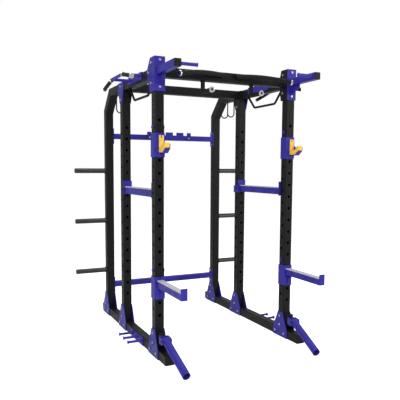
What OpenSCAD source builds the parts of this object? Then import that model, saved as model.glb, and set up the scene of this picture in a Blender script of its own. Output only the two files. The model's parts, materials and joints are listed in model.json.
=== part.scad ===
// Power cage: four drilled uprights on two skids, a rear storage frame, pull-up grips,
// flip-off bar hooks and spotter arms, safety rails and two swivelling bar sleeves.
// Millimetres. +Z is up, the lifter enters from -Y, and the origin is on the floor at the
// middle of the whole plan.

/* [Frame] */
// Outside width across the uprights
cage_width = 1270; // [1060:5:1530]
// Front upright centre to middle upright centre
bay_depth = 785; // [650:5:945]
// Middle upright centre to rear post centre
rear_depth = 530; // [440:5:640]
// Floor to the underside of the top rails
rail_height = 2150; // [1790:5:2580]
// Front upright above the underside of the top rails
upright_rise = 140; // [100:5:170]
// Skid ahead of the front upright centre
skid_front = 240; // [200:5:290]
// Skid behind the rear post centre
skid_rear = 150; // [100:5:200]

/* [Tube] */
// Side of the square main tube
tube = 75; // [63:1:90]
// Wall of every tube
wall = 3; // [2:0.5:4]
// Outside corner radius of the main tube
tube_corner = 6; // [4:0.5:8]
// Thickness of flanges, gussets and brackets
plate = 6; // [4:0.5:8]

/* [Hole pattern] */
// Diameter of the adjustment holes
hole_d = 25; // [20:0.5:30]
// Height step between holes
hole_pitch = 100; // [80:5:120]
// Lowest hole in the front and rear faces
front_hole_z = 330; // [300:5:400]
// Lowest hole in the side faces
side_hole_z = 380; // [340:5:460]

/* [Bar hooks] */
// Wanted height of the hook pins, set to the nearest side hole
hook_height = 1780; // [900:10:1780]
// Length of the hook lip ahead of its sleeve
hook_lip = 119; // [99:1:143]
// Width of the hook lip
hook_lip_w = 39; // [32:1:47]

/* [Spotter arms] */
// Wanted height of the arm pins, set to the nearest side hole
spotter_height = 680; // [580:10:880]
// Arm length ahead of its sleeve
spotter_reach = 450; // [350:5:540]
// Side of the square arm tube
spotter_tube = 50; // [42:1:60]

/* [Safety rails] */
// Wanted height of the rail pull pins, set to the nearest side hole
safety_height = 1280; // [980:10:1280]
// Width of the rail tube
safety_w = 50; // [42:1:60]
// Height of the rail tube
safety_h = 56; // [46:1:66]
// Diameter of the pull pins
pull_pin_d = 16; // [13:0.5:19]

/* [Bar sleeves] */
// Outside diameter of the swivelling bar sleeve
sleeve_d = 60; // [56:1:66]
// Bore of the bar sleeve
sleeve_bore = 52; // [50:0.5:54]
// Length from the tilt bolt to the open end
sleeve_length = 397; // [330:1:470]
// Inward swing of the right sleeve at rest
sleeve_swing = 9; // [0:1:20]

/* [Pull-up grips] */
// Diameter of the rubber grips
grip_d = 34; // [28:1:40]
// Diameter of the grip end caps
grip_cap_d = 44; // [38:1:50]
// Inner end of a wide grip from the middle of the cage
wide_grip_in = 70; // [60:1:90]
// Outer end of a wide grip from the middle of the cage
wide_grip_out = 490; // [420:1:500]
// Spacing of the two neutral grips
neutral_spacing = 442; // [380:1:520]

/* [Side bars] */
// Diameter of the bars outside the top rails
wing_d = 26; // [22:1:32]
// Wing bar centre from the upright centre
wing_out = 188; // [160:1:220]
// Length of the saddle that carries a wing bar
saddle_length = 335; // [280:5:400]
// Diameter of the low bars under the top rails
low_bar_d = 20; // [16:1:24]
// Drop of the low bars below the rails
low_bar_drop = 107; // [90:1:125]

/* [Storage] */
// Diameter of the plate pegs
plate_peg_d = 48; // [42:1:49.5]
// Length of the plate pegs from the post
plate_peg_length = 307; // [250:1:365]
// Diameter of the band pegs
band_peg_d = 20; // [16:1:24]
// Length of the hanger comb on the upper rear bar
comb_length = 490; // [420:5:580]

/* [Hidden] */

$fn = 64;
slack = 0.3;          // gap between curved neighbours
running = 0.1;        // radial clearance of a pin in its hole
eps = 1;              // overshoot of cuts
left = -1;
right = 1;

// Main places, measured from the front upright centres
post_x = (cage_width - tube) / 2;
half = tube / 2;
rear_y = bay_depth + rear_depth;
rail_top = rail_height + tube;
front_top = rail_height + upright_rise;
skid_back = rear_y + skid_rear;
cap_t = 4;
inner_x = post_x - half;
outer_x = post_x + half;
elbow_cut = 190;      // top and back of the post that the 45 degree elbow takes away

// Holes
hole_margin = 320;    // bare tube below the top rails
front_holes = floor((rail_height - hole_margin - front_hole_z) / hole_pitch) + 1;
side_holes = floor((rail_height - hole_margin - side_hole_z) / hole_pitch) + 1;
function side_hole(height) =
    side_hole_z + hole_pitch * min(side_holes - 1, round((height - side_hole_z) / hole_pitch));

// Fasteners
bolt_r = 6;
bolt_hole_r = 6.5;
head_r = 11;
head_t = 7;

// Base gussets, places measured from the foot of an upright
gusset_half = 103;
gusset_shoulder = 60;
gusset_height = 220;
gusset_top = 32;
gusset_bolts = [[0, 184], [0, 106], [-65, 40], [65, 40]];

// Brackets where uprights and top rails meet, heights from the underside of the rail
bracket_low = -105;
bracket_high = 150;
bracket_back = 108;
bracket_neck = 50;
bracket_bolts = [[20, 108], [20, -43], [85, 45]];
mid_bolts = [[0, -75], [0, 40]];
flange_back = 72;

// Front arms
arm_tube = 56;
arm_z = rail_height + 44;
arm_front = -372;
arm_peg_y = -345;
arm_peg_d = 25;
arm_peg_length = 132;
arm_flange_d = 42;
arm_web = 110;
arm_web_low = -58;

// Grips on the front crossbar
wide_root_z = rail_height + 47;
wide_tip_y = -178;
wide_tip_z = rail_height + 12;
wide_rise = 15;
boss_length = 22;
cap_length = 10;
neutral_y = -7.5;
neutral_tip_y = -166;
neutral_drop = 86;
neutral_bend = 30;

// Bars beside and below the top rails
wing_mid_y = 417;
wing_z = rail_height + 56;
wing_droop = 12;
wing_tip = 240;
wing_leg = saddle_length / 2 - 32;
wing_grip_d = 32;
collar_length = 12;
low_bar_front = 95;
low_bar_flat = 329;
low_bar_bend = 40;
rope_ys = [132, 262];
rope_d = 12;
rope_hook_in = 74;
rope_drop = 160;

// Rear bars and pegs
rear_bar_h = 52;
rear_bar_d = 60;
upper_bar_z = 1786 / 2150 * rail_height;
lower_bar_z = 297;
bar_plate_h = 150;
bar_bolt_z = 56;
comb_offset = 40;
comb_plate = 8;
comb_rise = 30;
comb_notch = 40;
comb_pitch = 120;
peg_zs = [450, 950, 1445];
peg_flange_d = 72;
band_y = 385;
band_pitch = 114;
band_plate_l = 303;
band_z = 40;
band_peg_length = 118;
band_flange_d = 40;

// Sleeves that wrap the uprights
shoe_gap = 1;
shoe_wall = 5;
shoe_in = half + shoe_gap;
shoe_out = shoe_in + shoe_wall;
shoe_corner = 8;
shoe_below = 45;      // pin centre to the top of the shoe
ear_r = 25;
pin_r = hole_d / 2 - running;
pin_tip = 12;
hook_shoe = 182;
spotter_shoe = 175;
liner_t = 8;

// Safety rails, heights measured from the pull pin
safety_top = 20;
safety_plate_low = -44;
safety_plate_high = 78;
safety_lap = 16;
cheek_low = -45;
cheek_high = 22;
cheek_tail = 8;
peg_into = 14;
knob_r = 13;
knob_t = 14;

// Bar sleeve joints
king_y = -94;
tilt_y = -165;
tilt_z = 165;
barrel_r = 25;
king_r = 10;
barrel_low = 124;
barrel_high = 192;
shelf_t = 10;
ear_t = 5;
lug_r = 27;
washer_t = 2.4;
washer_r = 24;
tilt_bolt_r = 8;

// The sleeve rests with its open end just clear of the floor
floor_clear = 1;
sleeve_droop = asin((tilt_z - floor_clear) / norm([sleeve_length, sleeve_d / 2]))
    - atan2(sleeve_d / 2, sleeve_length);
sleeve_end_y = tilt_y - sleeve_length * cos(sleeve_droop) - sleeve_d / 2 * sin(sleeve_droop);
plan_middle = (skid_back + sleeve_end_y) / 2;

black = [0.09, 0.09, 0.10];
blue = [0.13, 0.12, 0.52];
yellow = [0.88, 0.70, 0.22];
grey = [0.66, 0.66, 0.70];
chrome = [0.80, 0.80, 0.82];
rubber = [0.05, 0.05, 0.05];
gunmetal = [0.16, 0.15, 0.16];

// ---------------------------------------------------------------- helpers

module place() {
    translate([0, -plan_middle, 0]) children();
}

module rounded(w, h, r) {
    square([w, h - 2 * r], center = true);
    square([w - 2 * r, h], center = true);
    for (x = [-1, 1], y = [-1, 1])
        translate([x * (w / 2 - r), y * (h / 2 - r)]) circle(r);
}

module tube_section(w, h, r) {
    difference() {
        rounded(w, h, r);
        rounded(w - 2 * wall, h - 2 * wall, max(1, r - wall));
    }
}

module tube_up(length, w, h, r) {
    linear_extrude(length) tube_section(w, h, r);
}

module tube_back(length, w, h, r) {
    rotate([-90, 0, 0]) tube_up(length, w, h, r);
}

module tube_across(length, w, h, r) {
    rotate([0, 90, 0]) rotate([0, 0, 90]) translate([0, 0, -length / 2]) tube_up(length, w, h, r);
}

// An outline drawn in Y and Z, made a plate from x to x + t
module plate_yz(x, t) {
    translate([x, 0, 0]) rotate([90, 0, 90]) linear_extrude(t) children();
}

module rod_x(x0, x1, r) {
    translate([x0, 0, 0]) rotate([0, 90, 0]) cylinder(r = r, h = x1 - x0);
}

module rod_y(y0, y1, r) {
    translate([0, y0, 0]) rotate([-90, 0, 0]) cylinder(r = r, h = y1 - y0);
}

module rod_between(a, b, r) {
    d = b - a;
    translate(a)
        rotate([0, acos(d[2] / norm(d)), atan2(d[1], d[0])])
            cylinder(r = r, h = norm(d));
}

module hex_head(r, t) {
    cylinder(r = r, h = t, $fn = 6);
}

// A bolt along X through everything from x0 to x1, with a head and a nut
module through_bolt(x0, x1) {
    rod_x(x0, x1, bolt_r);
    translate([x1, 0, 0]) rotate([0, 90, 0]) hex_head(head_r, head_t);
    translate([x0, 0, 0]) rotate([0, -90, 0]) hex_head(head_r, head_t);
}

module at_side(s) {
    translate([s * post_x, 0, 0]) children();
}

// ---------------------------------------------------------------- frame

module skid(s) color(black) place() at_side(s)
    difference() {
        translate([0, -skid_front + cap_t, half])
            tube_back(skid_back + skid_front - 2 * cap_t, tube, tube, tube_corner);
        for (y = [0, bay_depth, rear_y], p = gusset_bolts)
            if (p[1] < tube)
                translate([0, y + p[0], p[1]]) rod_x(-half - eps, half + eps, bolt_hole_r);
    }

module plastic_end_caps() color(rubber) place()
    for (s = [left, right]) at_side(s) {
        translate([0, -skid_front, half]) end_cap(tube, tube_corner);
        translate([0, skid_back - cap_t, half]) end_cap(tube, tube_corner);
        translate([0, arm_front - cap_t, arm_z]) end_cap(arm_tube, tube_corner);
        translate([0, 0, front_top]) linear_extrude(cap_t) rounded(tube, tube, tube_corner);
    }

module end_cap(w, r) {
    rotate([-90, 0, 0]) linear_extrude(cap_t) rounded(w, w, r);
}

module foot_holes(y) {
    for (p = gusset_bolts)
        if (p[1] > tube)
            translate([0, y, p[1]]) rod_x(-half - eps, half + eps, bolt_hole_r);
}

module holed_tube(top) {
    difference() {
        translate([0, 0, tube]) tube_up(top - tube, tube, tube, tube_corner);
        for (k = [0 : front_holes - 1])
            translate([0, 0, front_hole_z + k * hole_pitch]) rod_y(-half - eps, half + eps, hole_d / 2);
        for (k = [0 : side_holes - 1])
            translate([0, 0, side_hole_z + k * hole_pitch]) rod_x(-half - eps, half + eps, hole_d / 2);
        foot_holes(0);
        children();
    }
}

module front_upright(s) color(black) place() at_side(s)
    holed_tube(front_top)
        for (p = bracket_bolts)
            if (p[0] < half)
                translate([0, p[0], rail_height + p[1]]) rod_x(-half - eps, half + eps, bolt_hole_r);

module mid_upright(s) color(black) place() at_side(s) translate([0, bay_depth, 0])
    holed_tube(rail_height)
        for (p = mid_bolts)
            if (p[1] < 0)
                translate([0, p[0], rail_height + p[1]]) rod_x(-half - eps, half + eps, bolt_hole_r);

// Side view of the post, elbow and rail, all cut square or on the mitre
mitre = tube * tan(22.5);
post_top = rail_top - elbow_cut;
elbow_y = rear_y + half - elbow_cut;

module rear_post(s) color(black) place() at_side(s)
    difference() {
        translate([0, rear_y, tube]) tube_up(post_top - tube, tube, tube, tube_corner);
        translate([0, rear_y + half, post_top])
            rotate([22.5, 0, 0]) translate([-tube, -2 * tube, 0]) cube([2 * tube, 3 * tube, tube]);
        translate([0, rear_y, 0]) foot_holes(0);
        for (z = [upper_bar_z, lower_bar_z], dz = [-bar_bolt_z, bar_bolt_z])
            translate([-s * half, rear_y, z + dz]) rod_x(-wall - eps, wall + eps, bolt_hole_r);
    }

module rail_elbows() color(black) place()
    for (s = [left, right]) at_side(s)
        difference() {
            plate_yz(-half, tube) polygon([
                [rear_y + half, post_top], [rear_y - half, post_top - mitre],
                [elbow_y - mitre, rail_height], [elbow_y, rail_top]]);
            plate_yz(-half + wall, tube - 2 * wall) polygon([
                [rear_y + half - wall, post_top - wall * tan(22.5)],
                [rear_y - half + wall, post_top - mitre + wall * tan(22.5)],
                [elbow_y - mitre + wall * tan(22.5), rail_height + wall],
                [elbow_y - wall * tan(22.5), rail_top - wall]]);
        }

module top_rail(s) color(black) place() at_side(s)
    difference() {
        translate([0, half, rail_height + half]) tube_back(elbow_y - half, tube, tube, tube_corner);
        translate([0, elbow_y, rail_top])
            rotate([-22.5, 0, 0]) translate([-tube, 0, -3 * tube]) cube([2 * tube, 3 * tube, 4 * tube]);
        for (p = mid_bolts)
            if (p[1] > 0)
                translate([0, bay_depth + p[0], rail_height + p[1]])
                    rod_x(-half - eps, half + eps, bolt_hole_r);
        for (p = bracket_bolts)
            if (p[0] > half)
                translate([0, p[0], rail_height + p[1]]) rod_x(-half - eps, half + eps, bolt_hole_r);
    }

module crossbar(y) color(black) place()
    translate([0, y, rail_height + half])
        tube_across(2 * (inner_x - plate), tube, tube, tube_corner);

module bracket_outline(back, low, high) {
    polygon([
        [-half - plate, low], [bracket_neck, low], [back, 15], [back, tube],
        [bracket_neck, high], [-half - plate, high]]);
}

module mid_outline() {
    polygon([[-30, bracket_low], [30, bracket_low], [flange_back, 15], [flange_back, tube],
        [-flange_back, tube], [-flange_back, 15]]);
}

module crossbar_flanges() color(black) place()
    for (s = [left, right]) {
        x = s > 0 ? inner_x - plate : -inner_x;
        translate([0, 0, rail_height]) difference() {
            plate_yz(x, plate) polygon([
                [-half, bracket_low], [bracket_neck, bracket_low], [flange_back, 15],
                [flange_back, tube], [bracket_neck, bracket_high], [-half, bracket_high]]);
            for (p = bracket_bolts)
                if (p[0] < half)
                    translate([0, p[0], p[1]]) rod_x(x - eps, x + plate + eps, bolt_hole_r);
        }
        translate([0, bay_depth, rail_height]) difference() {
            plate_yz(x, plate) mid_outline();
            for (p = mid_bolts)
                translate([0, p[0], p[1]]) rod_x(x - eps, x + plate + eps, bolt_hole_r);
        }
    }

module rear_crossbar(z) color(blue) place()
    translate([0, rear_y, z])
        tube_across(2 * (inner_x - plate), rear_bar_d, rear_bar_h, 4);

module rear_bar_plates() color(blue) place()
    for (s = [left, right], z = [upper_bar_z, lower_bar_z])
        difference() {
            translate([s * (inner_x - plate / 2), rear_y, z])
                cube([plate, tube, bar_plate_h], center = true);
            for (dz = [-bar_bolt_z, bar_bolt_z])
                translate([s * inner_x, rear_y, z + dz]) rod_x(-plate - eps, plate + eps, bolt_hole_r);
        }

module hanger_comb() color(blue) place()
    difference() {
        translate([comb_offset - comb_length / 2, rear_y - rear_bar_d / 2 - comb_plate,
            upper_bar_z - rear_bar_h / 2 + 4])
            cube([comb_length, comb_plate, rear_bar_h - 4 + comb_rise]);
        for (k = [-1.5 : 1 : 1.5])
            translate([comb_offset + k * comb_pitch - comb_notch / 2, rear_y - half - tube,
                upper_bar_z + rear_bar_h / 2])
                cube([comb_notch, 2 * tube, comb_rise + eps]);
    }

module gusset(x) {
    difference() {
        plate_yz(x, plate) polygon([
            [-gusset_half, 0], [gusset_half, 0], [gusset_half, gusset_shoulder],
            [gusset_top, gusset_height], [-gusset_top, gusset_height],
            [-gusset_half, gusset_shoulder]]);
        for (p = gusset_bolts)
            translate([0, p[0], p[1]]) rod_x(x - eps, x + plate + eps, bolt_hole_r);
    }
}

module base_gussets(s) color(blue) place() at_side(s)
    for (y = [0, bay_depth, rear_y], x = [-half - plate, half])
        translate([0, y, 0]) gusset(x);

module mid_top_gussets() color(blue) place()
    for (s = [left, right]) {
        x = s > 0 ? outer_x : -outer_x - plate;
        translate([0, bay_depth, rail_height]) difference() {
            plate_yz(x, plate) mid_outline();
            for (p = mid_bolts)
                translate([0, p[0], p[1]]) rod_x(x - eps, x + plate + eps, bolt_hole_r);
        }
    }

// ---------------------------------------------------------------- front arms

module front_arm(s) color(blue) place() at_side(s) {
    side = s > 0 ? half : -half - plate;
    translate([0, 0, rail_height]) {
        translate([-half - plate, -half - plate, bracket_low])
            cube([tube + 2 * plate, plate, bracket_high - bracket_low]);
        difference() {
            plate_yz(side, plate) bracket_outline(bracket_back, bracket_low, bracket_high);
            for (p = bracket_bolts)
                translate([0, p[0], p[1]]) rod_x(side - eps, side + plate + eps, bolt_hole_r);
        }
    }
    translate([0, arm_front, arm_z])
        tube_back(-half - plate - arm_front, arm_tube, arm_tube, tube_corner);
    arm_low = arm_z - arm_tube / 2;
    plate_yz(-plate / 2, plate) polygon([
        [-half - plate, arm_low], [-half - plate - arm_web, arm_low],
        [-half - plate - arm_web, arm_low - 28], [-half - plate - 12, rail_height + arm_web_low],
        [-half - plate, rail_height + arm_web_low]]);
    translate([0, arm_peg_y, arm_z]) mirror([s > 0 ? 1 : 0, 0, 0]) {
        rod_x(arm_tube / 2, arm_tube / 2 + arm_peg_length, arm_peg_d / 2);
        rod_x(arm_tube / 2, arm_tube / 2 + plate, arm_flange_d / 2);
        translate([arm_tube / 2 + arm_peg_length, 0, 0]) rod_x(0, 4, arm_peg_d / 2 + 3);
    }
}

// ---------------------------------------------------------------- grips

// A wide grip is one arc in the upright plane through its root and its tip
grip_run = norm([wide_grip_out - wide_grip_in, wide_tip_y + half + boss_length]);
grip_fall = wide_root_z - wide_tip_z;
grip_chord = norm([grip_run, grip_fall]);
grip_bow = grip_chord * grip_chord / 8 / wide_rise + wide_rise / 2;
grip_sweep = 2 * asin(grip_chord / 2 / grip_bow);
grip_heading = atan2(wide_tip_y + half + boss_length, wide_grip_out - wide_grip_in);
grip_pitch = atan2(grip_fall, grip_run);

module wide_grip_frame() {
    translate([wide_grip_in, -half - boss_length, wide_root_z])
        rotate([0, 0, grip_heading]) rotate([90, 0, 0]) rotate([0, 0, -grip_pitch])
            translate([grip_chord / 2, wide_rise - grip_bow, 0]) children();
}

module grip_arc(a0, a1, r) {
    rotate([0, 0, a0]) rotate_extrude(angle = a1 - a0) translate([grip_bow, 0]) circle(r);
}

module wide_grip(s) color(rubber) place() mirror([s > 0 ? 0 : 1, 0, 0]) {
    wide_grip_frame() grip_arc(90 - grip_sweep / 2, 90 + grip_sweep / 2, grip_d / 2);
    translate([wide_grip_in, 0, wide_root_z]) {
        rod_y(-half - boss_length, -half, grip_d / 2 + 3);
        translate([0, -half - boss_length, 0]) sphere(grip_d / 2 + 3);
    }
}

module neutral_grip(s) color(rubber) place()
    translate([s * neutral_spacing / 2, neutral_y, rail_height]) {
        translate([0, 0, neutral_bend - neutral_drop])
            cylinder(r = grip_d / 2, h = neutral_drop - neutral_bend - plate);
        translate([0, 0, -plate]) cylinder(r = grip_cap_d / 2, h = plate);
        translate([0, -neutral_bend, neutral_bend - neutral_drop])
            rotate([0, 90, 0]) rotate([0, 0, 0])
                rotate_extrude(angle = 90) translate([neutral_bend, 0]) circle(grip_d / 2);
        translate([0, 0, -neutral_drop])
            rod_y(neutral_tip_y + cap_length - neutral_y, -neutral_bend, grip_d / 2);
    }

module grip_end_caps() color(chrome) place()
    for (s = [left, right]) mirror([s > 0 ? 0 : 1, 0, 0]) {
        wide_grip_frame() rotate([0, 0, 90 - grip_sweep / 2])
            translate([grip_bow, 0, 0]) rotate([90, 0, 0]) cylinder(r = grip_cap_d / 2, h = cap_length);
        translate([neutral_spacing / 2, 0, rail_height - neutral_drop])
            rod_y(neutral_tip_y, neutral_tip_y + cap_length, grip_cap_d / 2);
    }

// ---------------------------------------------------------------- side bars

module wing_bar(s) color(blue) place() mirror([s > 0 ? 0 : 1, 0, 0]) {
    translate([0, wing_mid_y, 0]) {
        translate([inner_x - plate, -saddle_length / 2, rail_top])
            cube([tube + 2 * plate, saddle_length, plate]);
        for (x = [inner_x - plate, outer_x])
            translate([x, -saddle_length / 2, rail_height + 20])
                cube([plate, saddle_length, tube - 20]);
        for (y = [-wing_leg, wing_leg])
            translate([0, y, wing_z]) rod_x(outer_x, post_x + wing_out, wing_d / 2);
        translate([post_x + wing_out, 0, wing_z]) {
            rod_y(-wing_leg, wing_leg, wing_d / 2);
            for (m = [0, 1]) mirror([0, m, 0]) translate([0, wing_leg, 0]) sphere(wing_d / 2);
        }
    }
}

// The drooping end of a wing bar, drawn along +Y from the bar's bend
module wing_end() {
    for (s = [left, right], m = [0, 1])
        mirror([s > 0 ? 0 : 1, 0, 0])
            translate([post_x + wing_out, wing_mid_y, wing_z]) mirror([0, m, 0])
                translate([0, wing_leg, 0]) rotate([-wing_droop, 0, 0]) children();
}

module wing_grips() color(rubber) place()
    wing_end() rod_y(wing_d / 2 + collar_length + slack, wing_tip - cap_length, wing_grip_d / 2);

module wing_collars() color(chrome) place()
    wing_end() {
        rod_y(wing_d / 2 + slack, wing_d / 2 + collar_length, wing_grip_d / 2 + 3);
        rod_y(wing_tip - cap_length, wing_tip, wing_grip_d / 2 + 4);
    }

module low_bar(s) color(black) place() at_side(s) {
    r = low_bar_d / 2;
    low = rail_height - low_bar_drop;
    setback = low_bar_bend * tan(22.5);
    step = setback / sqrt(2);
    y1 = low_bar_front + low_bar_drop;
    y2 = y1 + low_bar_flat;
    difference() {
        union() {
            rod_between([0, low_bar_front - r, rail_height + r], [0, y1 - step, low + step], r);
            translate([0, 0, low]) rod_y(y1 + setback, y2 - setback, r);
            rod_between([0, y2 + step, low + step], [0, y2 + low_bar_drop + r, rail_height + r], r);
        }
        translate([-tube, 0, rail_height]) cube([2 * tube, y2 + 2 * tube, tube]);
    }
    for (bend = [[y1 + setback, 225], [y2 - setback, 270]])
        translate([0, bend[0], low + low_bar_bend]) rotate([90, 0, 90]) rotate([0, 0, bend[1]])
            rotate_extrude(angle = 45) translate([low_bar_bend, 0]) circle(r);
}

module rope_hooks() color(black) place()
    for (s = [left, right], y = rope_ys)
        mirror([s > 0 ? 0 : 1, 0, 0]) translate([post_x, bay_depth + y, rail_height]) {
            bend = rope_hook_in / 2;
            low = bend - rope_drop;
            translate([0, 0, low]) cylinder(r = rope_d / 2, h = -low);
            translate([-bend, 0, low]) rotate([-90, 0, 0])
                rotate_extrude(angle = 180) translate([bend, 0]) circle(rope_d / 2);
            translate([-2 * bend, 0, low]) cylinder(r = rope_d / 2, h = 8);
            translate([-2 * bend, 0, low + 8]) sphere(rope_d / 2);
        }

// ---------------------------------------------------------------- storage

module plate_pegs(s) color(gunmetal) place()
    for (z = peg_zs)
        mirror([s > 0 ? 0 : 1, 0, 0]) translate([outer_x, rear_y, z]) rotate([0, 90, 0]) {
            cylinder(r = peg_flange_d / 2, h = plate);
            cylinder(r = plate_peg_d / 2, h = plate_peg_length - 6);
            translate([0, 0, plate_peg_length - 6])
                cylinder(r1 = plate_peg_d / 2, r2 = plate_peg_d / 2 - 5, h = 6);
        }

module band_peg_plates() color(blue) place()
    for (s = [left, right]) mirror([s > 0 ? 0 : 1, 0, 0]) {
        translate([outer_x, band_y - band_plate_l / 2, 6]) cube([plate, band_plate_l, tube - 12]);
        for (k = [-1 : 1])
            translate([outer_x + plate, band_y + k * band_pitch, band_z]) {
                rod_x(0, band_peg_length, band_peg_d / 2);
                rod_x(0, plate, band_flange_d / 2);
                rod_x(band_peg_length - plate, band_peg_length, band_flange_d / 2 - 4);
            }
    }

// ---------------------------------------------------------------- shoes, hooks and arms

// A shoe wraps the front and both sides of an upright, below a pin through the side hole
module shoe(height) {
    translate([0, 0, -shoe_below - height]) linear_extrude(height) difference() {
        union() {
            translate([0, (half - shoe_out + shoe_corner) / 2])
                square([2 * shoe_out, half + shoe_out - shoe_corner], center = true);
            translate([0, -shoe_out + shoe_corner / 2])
                square([2 * (shoe_out - shoe_corner), shoe_corner], center = true);
            for (x = [-1, 1])
                translate([x * (shoe_out - shoe_corner), shoe_corner - shoe_out]) circle(shoe_corner);
        }
        translate([-shoe_in, -shoe_in]) square([2 * shoe_in, tube + 2 * shoe_in]);
    }
    plate_yz(shoe_in, shoe_wall) {
        circle(ear_r);
        translate([-ear_r, -shoe_below - 2]) square([2 * ear_r, shoe_below + 2]);
    }
    rod_x(-half - pin_tip, shoe_out, pin_r);
    rod_x(shoe_out, shoe_out + plate, pin_r + 4);
}

// The hook's cradle, seen from the side: heights from the pin, depths from the upright's centre
cradle_reach = shoe_out + hook_lip;
cradle_low = -193;
cradle_seat = -155;
cradle_top = -122;
cradle_chamfer = 35;
strip_top = -63;
slot_w = 8;
slot_h = 22;
liner_x = 11;         // the cradle sits off the upright's centre line
steel_t = 6;

module cradle_outline() {
    polygon([
        [-shoe_out, strip_top], [-shoe_out, cradle_low],
        [-cradle_reach + 1.5 * cradle_chamfer, cradle_low],
        [-cradle_reach, cradle_low + cradle_chamfer], [-cradle_reach, cradle_top],
        [-cradle_reach + 20, cradle_top], [-cradle_reach + 48, cradle_seat],
        [-shoe_out - liner_t, cradle_seat], [-shoe_out - liner_t, strip_top]]);
}

module bar_hook(s) color(blue) place() at_side(s) translate([0, 0, side_hole(hook_height)]) {
    shoe(hook_shoe);
    x0 = liner_x - hook_lip_w / 2;
    plate_yz(x0 + hook_lip_w, steel_t) polygon([
        [-shoe_out + eps, cradle_seat + 40], [-shoe_out + eps, cradle_low - steel_t],
        [-cradle_reach + 1.4 * cradle_chamfer, cradle_low - steel_t],
        [-cradle_reach + 2, cradle_low + cradle_chamfer - steel_t],
        [-cradle_reach + 2, cradle_top - 8], [-cradle_reach + 48, cradle_seat + 4]]);
    plate_yz(x0 + 4, hook_lip_w) polygon([
        [-shoe_out + eps, cradle_low], [-cradle_reach + 1.5 * cradle_chamfer, cradle_low],
        [-cradle_reach + 2, cradle_low + cradle_chamfer - 2],
        [-cradle_reach + 2, cradle_low + cradle_chamfer - steel_t - 2],
        [-cradle_reach + 1.4 * cradle_chamfer, cradle_low - steel_t],
        [-shoe_out + eps, cradle_low - steel_t]]);
}

module hook_liner(s) color(yellow) place() at_side(s) translate([0, 0, side_hole(hook_height)])
    difference() {
        plate_yz(liner_x - hook_lip_w / 2, hook_lip_w) cradle_outline();
        translate([liner_x - slot_w / 2, -shoe_out - 2 * liner_t, strip_top - slot_h])
            cube([slot_w, 3 * liner_t, slot_h + eps]);
    }

arm_hole_r = 6;
arm_holes = [0.2, 0.405, 0.61, 0.815];

module spotter_arm(s) color(blue) place() at_side(s) translate([0, 0, side_hole(spotter_height)]) {
    shoe(spotter_shoe);
    arm_top = -shoe_below - 34;
    translate([0, -shoe_out - spotter_reach + plate, arm_top - spotter_tube / 2])
        difference() {
            tube_back(spotter_reach - plate, spotter_tube, spotter_tube, 4);
            for (f = arm_holes)
                translate([0, spotter_reach * (1 - f), 0]) rod_x(-spotter_tube, spotter_tube, arm_hole_r);
        }
    translate([-spotter_tube / 2, -shoe_out - spotter_reach, arm_top - spotter_tube])
        cube([spotter_tube, plate, spotter_tube + liner_t + 28]);
    web = spotter_shoe - 34 - spotter_tube - 12;
    plate_yz(-plate / 2, plate) difference() {
        translate([-shoe_out - web, arm_top - spotter_tube - web]) square(web);
        translate([-shoe_out - web, arm_top - spotter_tube - web]) circle(web - 6);
    }
}

module spotter_liner(s) color(grey) place() at_side(s)
    translate([-spotter_tube / 2, -shoe_out - spotter_reach + plate,
        side_hole(spotter_height) - shoe_below - 34])
        cube([spotter_tube, spotter_reach - plate, liner_t]);

// ---------------------------------------------------------------- safety rails

module safety_rail(s) color(blue) place()
    mirror([s > 0 ? 0 : 1, 0, 0]) translate([post_x, 0, side_hole(safety_height)]) {
        y0 = half;
        y1 = bay_depth - half;
        translate([0, y0 + plate, safety_top - safety_h / 2])
            tube_back(y1 - y0 - 2 * plate, safety_w, safety_h, 4);
        translate([-half - safety_lap, y0, safety_plate_low])
            cube([tube + safety_lap, plate, safety_plate_high - safety_plate_low]);
        translate([-half - plate, y1 - plate, safety_plate_low])
            cube([tube + plate, plate, safety_plate_high - safety_plate_low]);
        difference() {
            translate([-half - plate, y1 - eps, cheek_low])
                cube([plate, tube + cheek_tail + eps, cheek_high - cheek_low]);
            translate([0, bay_depth, 0]) rod_x(-half - plate - eps, -half + eps, pull_pin_d / 2 + running);
        }
        for (y = [[y0 - peg_into, y0], [y1, y1 + peg_into]])
            translate([0, 0, hole_pitch / 2]) rod_y(y[0], y[1], pin_r);
    }

module safety_rail_liners() color(grey) place()
    for (s = [left, right]) at_side(s)
        translate([-safety_w / 2, half + plate, side_hole(safety_height) + safety_top])
            cube([safety_w, bay_depth - tube - 2 * plate, liner_t]);

module pull_pin(s) color(blue) place()
    mirror([s > 0 ? 0 : 1, 0, 0]) translate([post_x, bay_depth, side_hole(safety_height)]) {
        rod_x(-half - plate, -half + wall + 10, pull_pin_d / 2);
        rod_x(-half - plate - knob_t, -half - plate, knob_r);
    }

// ---------------------------------------------------------------- bar sleeves

module sleeve_brackets() color(black) place()
    for (s = [left, right]) at_side(s) {
        translate([-half + 5, -half - plate, barrel_low - shelf_t - 6])
            cube([tube - 10, plate, barrel_high - barrel_low + shelf_t + 18]);
        translate([-barrel_r, king_y, barrel_low - shelf_t])
            cube([2 * barrel_r, -half - plate - king_y, shelf_t]);
        translate([0, king_y, barrel_low - shelf_t]) {
            cylinder(r = barrel_r, h = shelf_t);
            cylinder(r = king_r, h = barrel_high - barrel_low + shelf_t + 6);
            translate([0, 0, barrel_high - barrel_low + shelf_t + slack]) {
                cylinder(r = washer_r, h = 4);
                translate([0, 0, 4]) cylinder(r = 22, h = 18);
            }
        }
    }

module swung(s) {
    at_side(s) translate([0, king_y, 0])
        rotate([0, 0, s > 0 ? -sleeve_swing : 0]) translate([0, -king_y, 0]) children();
}

lug_in = sleeve_d / 2 + washer_t + 2 * slack;
lug_out = lug_in + ear_t;

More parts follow.
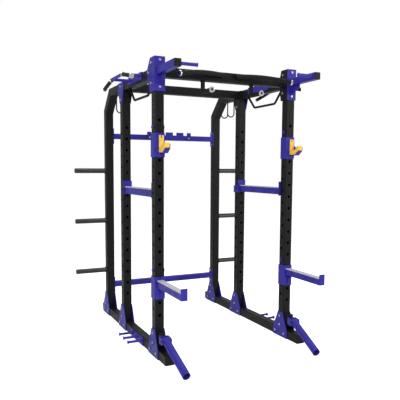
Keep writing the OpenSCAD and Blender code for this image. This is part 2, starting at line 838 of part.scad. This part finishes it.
module sleeve_swivel(s) color(blue) place() swung(s) {
    web_back = king_y - barrel_r + 4;
    web_front = tilt_y + sleeve_d / 2 + 3;
    difference() {
        union() {
            translate([0, king_y, barrel_low + slack])
                cylinder(r = barrel_r, h = barrel_high - barrel_low - slack);
            translate([-lug_out, web_front, tilt_z - lug_r])
                cube([2 * lug_out, web_back - web_front, 2 * lug_r]);
        }
        translate([0, king_y, 0]) cylinder(r = king_r + running, h = 2 * barrel_high);
    }
    for (x = [-lug_out, lug_in])
        plate_yz(x, ear_t) {
            translate([tilt_y, tilt_z]) circle(lug_r);
            translate([tilt_y, tilt_z - lug_r]) square([web_back - tilt_y, 2 * lug_r]);
        }
    translate([0, tilt_y, tilt_z]) {
        rod_x(-lug_in, lug_in, tilt_bolt_r);
        for (m = [0, 1]) mirror([m, 0, 0]) {
            rod_x(lug_in - washer_t + slack, lug_in, washer_r);
            translate([lug_out, 0, 0]) rotate([0, 90, 0]) hex_head(13, 8);
        }
    }
}

module bar_sleeve(s) color(blue) place() swung(s)
    translate([0, tilt_y, tilt_z]) rotate([sleeve_droop, 0, 0])
        difference() {
            union() {
                rod_y(-sleeve_length, 0, sleeve_d / 2);
                rod_x(-sleeve_d / 2, sleeve_d / 2, sleeve_d / 2 - 2);
            }
            rod_y(-sleeve_length - eps, -sleeve_d / 2 - 12, sleeve_bore / 2);
            rod_x(-sleeve_d, sleeve_d, tilt_bolt_r + running);
        }

// ---------------------------------------------------------------- fasteners

module base_bolts() color(grey) place()
    for (s = [left, right], y = [0, bay_depth, rear_y], p = gusset_bolts)
        at_side(s) translate([0, y + p[0], p[1]])
            mirror([s > 0 ? 0 : 1, 0, 0]) through_bolt(-half - plate, half + plate);

module top_bolts() color(grey) place()
    for (s = [left, right]) at_side(s) mirror([s > 0 ? 0 : 1, 0, 0]) {
        for (p = bracket_bolts)
            translate([0, p[0], rail_height + p[1]])
                through_bolt(p[0] < half ? -half - plate : -half, half + plate);
        for (p = mid_bolts)
            translate([0, bay_depth + p[0], rail_height + p[1]]) through_bolt(-half - plate, half + plate);
        for (z = [-75, 123])
            translate([0, -half - plate, rail_height + z]) rotate([90, 0, 0]) hex_head(head_r, head_t);
    }

module bar_bolts() color(grey) place() {
    for (s = [left, right], z = [upper_bar_z, lower_bar_z], dz = [-bar_bolt_z, bar_bolt_z])
        mirror([s > 0 ? 0 : 1, 0, 0]) translate([inner_x, rear_y, z + dz]) {
            rod_x(-plate, 12, bolt_r);
            translate([-plate, 0, 0]) rotate([0, -90, 0]) hex_head(head_r, head_t);
        }
    for (k = [-2, 2])
        translate([comb_offset + k * comb_pitch - k * 10, rear_y - rear_bar_d / 2 - comb_plate, upper_bar_z])
            rotate([90, 0, 0]) hex_head(head_r - 2, head_t - 2);
}

skid(left);  // left_skid
skid(right);  // right_skid
plastic_end_caps();
front_upright(left);  // front_left_upright
front_upright(right);  // front_right_upright
mid_upright(left);  // mid_left_upright
mid_upright(right);  // mid_right_upright
rear_post(left);  // left_rear_post
rear_post(right);  // right_rear_post
rail_elbows();
top_rail(left);  // left_top_rail
top_rail(right);  // right_top_rail
crossbar(0);  // front_crossbar
crossbar(bay_depth);  // mid_crossbar
crossbar_flanges();
rear_crossbar(upper_bar_z);  // upper_rear_crossbar
rear_crossbar(lower_bar_z);  // lower_rear_crossbar
rear_bar_plates();
hanger_comb();
base_gussets(left);  // left_base_gussets
base_gussets(right);  // right_base_gussets
mid_top_gussets();
front_arm(left);  // left_front_arm
front_arm(right);  // right_front_arm
wide_grip(left);  // left_wide_grip
wide_grip(right);  // right_wide_grip
neutral_grip(left);  // left_neutral_grip
neutral_grip(right);  // right_neutral_grip
grip_end_caps();
wing_bar(left);  // left_wing_bar
wing_bar(right);  // right_wing_bar
wing_grips();
wing_collars();
low_bar(left);  // left_low_bar
low_bar(right);  // right_low_bar
rope_hooks();
plate_pegs(left);  // left_plate_pegs
plate_pegs(right);  // right_plate_pegs
band_peg_plates();
safety_rail(left);  // left_safety_rail
safety_rail(right);  // right_safety_rail
safety_rail_liners();
pull_pin(left);  // left_pull_pin
pull_pin(right);  // right_pull_pin
bar_hook(left);  // left_bar_hook
hook_liner(left);  // left_hook_liner
bar_hook(right);  // right_bar_hook
hook_liner(right);  // right_hook_liner
spotter_arm(left);  // left_spotter_arm
spotter_liner(left);  // left_spotter_liner
spotter_arm(right);  // right_spotter_arm
spotter_liner(right);  // right_spotter_liner
sleeve_brackets();
sleeve_swivel(left);  // left_sleeve_swivel
sleeve_swivel(right);  // right_sleeve_swivel
bar_sleeve(left);  // left_bar_sleeve
bar_sleeve(right);  // right_bar_sleeve
base_bolts();
top_bolts();
bar_bolts();
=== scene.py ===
"""Power cage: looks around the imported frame. Metres, +Z up, the lifter enters from -Y."""
import json
import math

import bmesh
import bpy
from mathutils import Matrix, Vector


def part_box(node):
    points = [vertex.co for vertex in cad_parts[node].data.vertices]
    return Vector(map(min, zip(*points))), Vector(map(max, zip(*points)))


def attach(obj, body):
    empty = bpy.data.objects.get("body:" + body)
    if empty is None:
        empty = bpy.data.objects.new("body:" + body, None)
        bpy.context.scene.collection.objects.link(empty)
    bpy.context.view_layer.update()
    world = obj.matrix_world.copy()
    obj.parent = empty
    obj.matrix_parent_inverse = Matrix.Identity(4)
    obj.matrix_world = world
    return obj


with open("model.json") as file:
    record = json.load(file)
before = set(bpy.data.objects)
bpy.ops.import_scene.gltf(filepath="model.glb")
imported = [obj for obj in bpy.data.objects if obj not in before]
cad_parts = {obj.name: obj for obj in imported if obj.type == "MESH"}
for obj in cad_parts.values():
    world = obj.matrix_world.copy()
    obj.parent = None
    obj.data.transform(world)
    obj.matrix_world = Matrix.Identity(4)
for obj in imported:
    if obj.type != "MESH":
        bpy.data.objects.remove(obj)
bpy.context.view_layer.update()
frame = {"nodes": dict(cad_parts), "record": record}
nodes = frame["nodes"]
record = frame["record"]

# ---------------------------------------------------------------- camera and stage

LENS = 46.0                 # mm on a 36 mm sensor
CAMERA_AT = (-2.046, -4.109, 1.461)
CAMERA_YAW = 24.56          # degrees from +Y towards +X
CAMERA_DOWN = 4.96
CAMERA_ROLL = 0.17
CAMERA_SHIFT = (0.0405, 0.0343)

FLOOR_SIZE = 40.0
FLOOR_DROP = 0.0005         # keeps the floor just under the skids
FLOOR_GREY = 0.86
FLOOR_GLOW = 0.6            # added for camera rays only, so the floor reads white
WORLD_LIGHT = 0.55

# name, place, point it faces, width, watts
LIGHTS = (
    ("key", (-3.2, -4.6, 4.2), (0, 0, 1.1), 3.0, 250),
    ("fill", (4.2, -3.0, 2.6), (0, 0, 1.1), 3.0, 90),
    ("top", (0.0, 0.4, 5.2), (0, 0, 1.0), 4.0, 120),
)


def make_camera():
    data = bpy.data.cameras.new("camera")
    data.lens = LENS
    data.sensor_width = 36.0
    data.shift_x, data.shift_y = CAMERA_SHIFT
    data.clip_end = 60.0
    camera = bpy.data.objects.new("camera", data)
    camera.location = CAMERA_AT
    turn = Matrix.Rotation(math.radians(-CAMERA_YAW), 4, "Z")
    tilt = Matrix.Rotation(math.radians(90.0 - CAMERA_DOWN), 4, "X")
    roll = Matrix.Rotation(math.radians(CAMERA_ROLL), 4, "Z")
    camera.rotation_euler = (turn @ tilt @ roll).to_euler()
    bpy.context.collection.objects.link(camera)
    bpy.context.scene.camera = camera


def shader(name):
    material = bpy.data.materials.new(name)
    material.use_nodes = True
    tree = material.node_tree
    return material, tree, tree.nodes["Principled BSDF"]


def make_stage():
    """A pale floor that reads white to the camera and still takes the cage's shadow."""
    bpy.ops.mesh.primitive_plane_add(size=FLOOR_SIZE, location=(0, 0, -FLOOR_DROP))
    floor = bpy.context.object
    floor.name = "floor"
    material = bpy.data.materials.new("pale_floor")
    material.use_nodes = True
    tree = material.node_tree
    tree.nodes.clear()
    out = tree.nodes.new("ShaderNodeOutputMaterial")
    diffuse = tree.nodes.new("ShaderNodeBsdfDiffuse")
    diffuse.inputs["Color"].default_value = (FLOOR_GREY, FLOOR_GREY, FLOOR_GREY, 1)
    glow = tree.nodes.new("ShaderNodeEmission")
    glow.inputs["Color"].default_value = (1, 1, 1, 1)
    path = tree.nodes.new("ShaderNodeLightPath")
    lift = tree.nodes.new("ShaderNodeMath")
    lift.operation = "MULTIPLY"
    lift.inputs[1].default_value = FLOOR_GLOW
    add = tree.nodes.new("ShaderNodeAddShader")
    tree.links.new(path.outputs["Is Camera Ray"], lift.inputs[0])
    tree.links.new(lift.outputs[0], glow.inputs["Strength"])
    tree.links.new(diffuse.outputs[0], add.inputs[0])
    tree.links.new(glow.outputs[0], add.inputs[1])
    tree.links.new(add.outputs[0], out.inputs["Surface"])
    floor.data.materials.append(material)


def make_world():
    """White to the camera and through glass; reflections and shading see a softer light."""
    world = bpy.data.worlds.new("studio")
    bpy.context.scene.world = world
    world.use_nodes = True
    tree = world.node_tree
    tree.nodes.clear()
    out = tree.nodes.new("ShaderNodeOutputWorld")
    seen = tree.nodes.new("ShaderNodeBackground")
    seen.inputs["Color"].default_value = (1, 1, 1, 1)
    light = tree.nodes.new("ShaderNodeBackground")
    light.inputs["Color"].default_value = (0.96, 0.98, 1, 1)
    light.inputs["Strength"].default_value = WORLD_LIGHT
    path = tree.nodes.new("ShaderNodeLightPath")
    either = tree.nodes.new("ShaderNodeMath")
    either.operation = "MAXIMUM"
    mix = tree.nodes.new("ShaderNodeMixShader")
    tree.links.new(path.outputs["Is Camera Ray"], either.inputs[0])
    tree.links.new(path.outputs["Is Transmission Ray"], either.inputs[1])
    tree.links.new(either.outputs[0], mix.inputs["Fac"])
    tree.links.new(light.outputs[0], mix.inputs[1])
    tree.links.new(seen.outputs[0], mix.inputs[2])
    tree.links.new(mix.outputs[0], out.inputs["Surface"])


def area_light(name, at, toward, size, watts):
    data = bpy.data.lights.new(name, "AREA")
    data.size = size
    data.energy = watts
    lamp = bpy.data.objects.new(name, data)
    lamp.location = at
    lamp.rotation_euler = (Vector(toward) - Vector(at)).to_track_quat("-Z", "Y").to_euler()
    bpy.context.collection.objects.link(lamp)


# ---------------------------------------------------------------- materials


def grain(tree, bsdf, scale, strength, distance):
    """Fine surface grain in real size, as a bump."""
    place = tree.nodes.new("ShaderNodeTexCoord")
    noise = tree.nodes.new("ShaderNodeTexNoise")
    noise.inputs["Scale"].default_value = scale
    noise.inputs["Detail"].default_value = 3
    bump = tree.nodes.new("ShaderNodeBump")
    bump.inputs["Strength"].default_value = strength
    bump.inputs["Distance"].default_value = distance
    tree.links.new(place.outputs["Object"], noise.inputs["Vector"])
    tree.links.new(noise.outputs["Fac"], bump.inputs["Height"])
    tree.links.new(bump.outputs["Normal"], bsdf.inputs["Normal"])
    return place


def mottle(tree, bsdf, place, low, high, scale, socket="Base Color"):
    """A slow change from one colour or value to another across the surface."""
    noise = tree.nodes.new("ShaderNodeTexNoise")
    noise.inputs["Scale"].default_value = scale
    noise.inputs["Detail"].default_value = 5
    ramp = tree.nodes.new("ShaderNodeValToRGB")
    ramp.color_ramp.elements[0].position = 0.34
    ramp.color_ramp.elements[1].position = 0.68
    for element, value in zip(ramp.color_ramp.elements, (low, high)):
        element.color = (*value, 1) if isinstance(value, tuple) else (value, value, value, 1)
    tree.links.new(place.outputs["Object"], noise.inputs["Vector"])
    tree.links.new(noise.outputs["Fac"], ramp.inputs["Fac"])
    tree.links.new(ramp.outputs["Color"], bsdf.inputs[socket])
    return ramp


def shade(rgb, factor):
    return tuple(min(1.0, c * factor) for c in rgb)


def powder_coat(name, rgb, rough, specular):
    material, tree, bsdf = shader(name)
    place = grain(tree, bsdf, 520, 0.2, 0.0005)
    mottle(tree, bsdf, place, shade(rgb, 0.84), shade(rgb, 1.18), 7)
    mottle(tree, bsdf, place, rough - 0.06, rough + 0.08, 22, "Roughness")
    bsdf.inputs["Specular IOR Level"].default_value = specular
    return material


PLASTIC_SPECULAR = 0.2


def plastic(name, rgb, rough, scale):
    material, tree, bsdf = shader(name)
    place = grain(tree, bsdf, scale, 0.3, 0.0005)
    mottle(tree, bsdf, place, shade(rgb, 0.88), shade(rgb, 1.12), 30)
    mottle(tree, bsdf, place, rough - 0.05, rough + 0.1, 60, "Roughness")
    bsdf.inputs["Specular IOR Level"].default_value = PLASTIC_SPECULAR
    return material


def metal(name, rgb, rough, scale):
    material, tree, bsdf = shader(name)
    bsdf.inputs["Metallic"].default_value = 1.0
    place = grain(tree, bsdf, scale, 0.05, 0.00006)
    mottle(tree, bsdf, place, shade(rgb, 0.94), shade(rgb, 1.05), 12)
    mottle(tree, bsdf, place, rough * 0.92, rough * 1.12, 30, "Roughness")
    return material


# The blacks and blues are darker and less glossy than real powder coat
MATERIALS = {
    "black_steel": lambda: powder_coat("black_powder_coat", (0.0042, 0.0042, 0.0050), 0.44, 0.16),
    "blue_steel": lambda: powder_coat("blue_powder_coat", (0.024, 0.018, 0.235), 0.4, 0.2),
    "black_plastic": lambda: plastic("moulded_black_plastic", (0.0050, 0.0050, 0.0055), 0.5, 900),
    "black_rubber": lambda: plastic("matte_black_rubber", (0.0040, 0.0040, 0.0045), 0.6, 700),
    "yellow_liner": lambda: plastic("yellow_polyethylene", (0.74, 0.45, 0.075), 0.42, 260),
    "grey_liner": lambda: plastic("grey_polyethylene", (0.40, 0.40, 0.45), 0.42, 260),
    "chrome": lambda: metal("polished_chrome", (0.80, 0.79, 0.78), 0.12, 300),
    "dark_chrome": lambda: metal("gunmetal_chrome", (0.055, 0.050, 0.053), 0.27, 300),
    "bolt_steel": lambda: metal("zinc_plated_steel", (0.44, 0.44, 0.46), 0.38, 500),
}
finishes = {slot: make() for slot, make in MATERIALS.items()}


# ---------------------------------------------------------------- carried-over nodes

MERGE = 0.00002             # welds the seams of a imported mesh
FLAT = math.radians(0.6)    # faces nearer than this to one plane become one face
SHARP = math.radians(35.0)
EDGE_WIDTHS = {             # rounded edge in metres, by material slot
    "black_steel": 0.0008,
    "blue_steel": 0.0011,
    "black_plastic": 0.0022,
    "black_rubber": 0.0012,
    "yellow_liner": 0.0018,
    "grey_liner": 0.0018,
    "chrome": 0.0020,
    "dark_chrome": 0.0010,
    "bolt_steel": 0.0006,
}


def soften(obj, width):
    """Rounds a node's sharp edges by modifiers; its own mesh stays as it is."""
    weld = obj.modifiers.new("weld", "WELD")
    weld.merge_threshold = MERGE
    planar = obj.modifiers.new("planar", "DECIMATE")
    planar.decimate_type = "DISSOLVE"
    planar.angle_limit = FLAT
    bevel = obj.modifiers.new("soft_edges", "BEVEL")
    bevel.width = width
    bevel.segments = 2
    bevel.limit_method = "ANGLE"
    bevel.angle_limit = SHARP


def dress_nodes():
    for part in record["subparts"]:
        obj = nodes[part["node"]]
        slot = part["material_slot"]
        obj.data.materials.clear()
        obj.data.materials.append(finishes[slot])
        soften(obj, EDGE_WIDTHS[slot])


def add_piece(name, mesh, body, slot, smooth):
    """Turns a finished bmesh into a piece that rides on a body."""
    data = bpy.data.meshes.new(name)
    mesh.to_mesh(data)
    mesh.free()
    if smooth:
        data.shade_smooth()
    obj = bpy.data.objects.new(name, data)
    bpy.context.collection.objects.link(obj)
    data.materials.append(finishes[slot])
    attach(obj, body)


# ---------------------------------------------------------------- weld beads

TUBE_CORNER = 0.006
PLATE = 0.006
BEAD = 0.0024               # radius of a bead
RIPPLE = 0.0044             # length of one ripple along it
STEP = RIPPLE / 4
BEAD_SIDES = 8
WELDED_BARS = (
    ("front_crossbar", "black_steel"),
    ("mid_crossbar", "black_steel"),
    ("upper_rear_crossbar", "blue_steel"),
    ("lower_rear_crossbar", "blue_steel"),
)


def square_path(x, low, high, corner):
    """A closed path round a square tube's section at x."""
    points = []
    for sign_y, sign_z, start in ((1, 1, 0), (-1, 1, 90), (-1, -1, 180), (1, -1, 270)):
        y = (high[1] if sign_y > 0 else low[1]) - sign_y * corner
        z = (high[2] if sign_z > 0 else low[2]) - sign_z * corner
        for k in range(5):
            a = math.radians(start + 22.5 * k)
            points.append(Vector((x, y + corner * math.cos(a), z + corner * math.sin(a))))
    return points


def round_path(centre, radius):
    turns = 48
    return [Vector(centre) + Vector((0, radius * math.cos(a), radius * math.sin(a)))
            for a in (2 * math.pi * k / turns for k in range(turns))]


def evenly(path):
    """The same closed path with points one step apart."""
    lengths = [(path[(i + 1) % len(path)] - p).length for i, p in enumerate(path)]
    count = max(12, round(sum(lengths) / STEP))
    step = sum(lengths) / count
    out, i, along = [], 0, 0.0
    for k in range(count):
        while along + lengths[i] < k * step:
            along += lengths[i]
            i += 1
        out.append(path[i].lerp(path[(i + 1) % len(path)], (k * step - along) / lengths[i]))
    return out


def weld_beads(name, paths, body, slot):
    """Rippled weld beads along closed paths that lie across X."""
    mesh = bmesh.new()
    axis = Vector((1, 0, 0))
    for path in paths:
        spine = evenly(path)
        rings = []
        for k, centre in enumerate(spine):
            ahead = (spine[(k + 1) % len(spine)] - spine[k - 1]).normalized()
            side = ahead.cross(axis)
            r = BEAD * (0.84 + 0.16 * math.sin(math.pi * (k % 4) / 4))
            rings.append([mesh.verts.new(centre + r * (math.cos(a) * axis + math.sin(a) * side))
                          for a in (2 * math.pi * j / BEAD_SIDES for j in range(BEAD_SIDES))])
        for k, ring in enumerate(rings):
            after = rings[(k + 1) % len(rings)]
            for j in range(BEAD_SIDES):
                n = (j + 1) % BEAD_SIDES
                mesh.faces.new((ring[j], ring[n], after[n], after[j]))
    bmesh.ops.recalc_face_normals(mesh, faces=mesh.faces)
    add_piece(name, mesh, body, slot, smooth=True)


def weld_crossbars():
    """Each crossbar is welded round its section to the plate at each end."""
    for node, slot in WELDED_BARS:
        low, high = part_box(node)
        ends = (low[0] + BEAD / 2, high[0] - BEAD / 2)
        paths = [square_path(x, low, high, TUBE_CORNER) for x in ends]
        weld_beads(node + "_welds", paths, "root", slot)


def weld_pegs():
    """Each plate peg is welded to its round flange, a plate thick, on the rear post."""
    for side, sign in (("left", -1), ("right", 1)):
        low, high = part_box(side + "_plate_pegs")
        face = (high[0] - PLATE) if sign < 0 else (low[0] + PLATE)
        paths = []
        for mount in record["mounts"]:
            if mount["name"].startswith(side + "_plate_peg"):
                _, y, z = mount["pos_m"]
                radius = mount["dims"]["r_mm"] / 1000
                paths.append(round_path((face + sign * BEAD / 2, y, z), radius))
        weld_beads(side + "_peg_welds", paths, "root", "black_steel")


# ---------------------------------------------------------------- cap buttons

# radius and height of each ring of a button
BUTTON = (
    (0.0100, -0.0006), (0.0100, 0.0006), (0.0092, 0.0016), (0.0070, 0.0026), (0.0052, 0.0030),
)
BUTTON_SIDES = 36
SOCKET_RADIUS = 0.0046
SOCKET_FLOOR = 0.0004


def end_faces(node):
    """Centre and outward direction of the forward end of every solid in a node."""
    mesh = bmesh.new()
    mesh.from_mesh(nodes[node].data)
    bmesh.ops.remove_doubles(mesh, verts=mesh.verts, dist=MERGE)
    found, seen = [], set()
    for first in mesh.verts:
        if first in seen:
            continue
        island, edge = set(), [first]
        while edge:
            vert = edge.pop()
            if vert in seen:
                continue
            seen.add(vert)
            island.update(vert.link_faces)
            edge.extend(e.other_vert(vert) for e in vert.link_edges)
        flats = {}
        for face in island:
            key = tuple(round(c, 2) for c in face.normal)
            flats.setdefault(key, []).append(face)
        ends = sorted(flats.values(), key=lambda faces: -sum(f.calc_area() for f in faces))[:2]
        front = min(ends, key=lambda faces: faces[0].normal.y)
        area = sum(f.calc_area() for f in front)
        centre = sum((f.calc_center_median() * f.calc_area() for f in front), Vector()) / area
        found.append((centre, front[0].normal.copy()))
    mesh.free()
    return found


def cap_buttons():
    """A domed button with a hexagon socket closes the middle of each chrome cap."""
    sides = BUTTON_SIDES
    mesh = bmesh.new()
    for centre, normal in end_faces("grip_end_caps"):
        turn = normal.to_track_quat("Z", "Y").to_matrix()
        rings = [[(r, z)] * sides for r, z in BUTTON]
        across = SOCKET_RADIUS * math.cos(math.pi / 6)
        hexagon = [across / math.cos((2 * math.pi * j / sides) % (math.pi / 3) - math.pi / 6)
                   for j in range(sides)]
        rings.append([(r, BUTTON[-1][1]) for r in hexagon])
        rings.append([(r, SOCKET_FLOOR) for r in hexagon])
        made = []
        for ring in rings:
            made.append([])
            for j, (r, z) in enumerate(ring):
                a = 2 * math.pi * j / sides
                point = Vector((r * math.cos(a), r * math.sin(a), z))
                made[-1].append(mesh.verts.new(centre + turn @ point))
        for lower, upper in zip(made, made[1:]):
            for j in range(sides):
                n = (j + 1) % sides
                mesh.faces.new((lower[j], lower[n], upper[n], upper[j]))
        mesh.faces.new(made[-1])
        mesh.faces.new(list(reversed(made[0])))
    bmesh.ops.recalc_face_normals(mesh, faces=mesh.faces)
    add_piece("grip_cap_buttons", mesh, "root", "dark_chrome", smooth=False)


make_camera()
make_stage()
make_world()
for light in LIGHTS:
    area_light(*light)
dress_nodes()
weld_crossbars()
weld_pegs()
cap_buttons()

scene = bpy.context.scene
scene.view_settings.view_transform = "Standard"
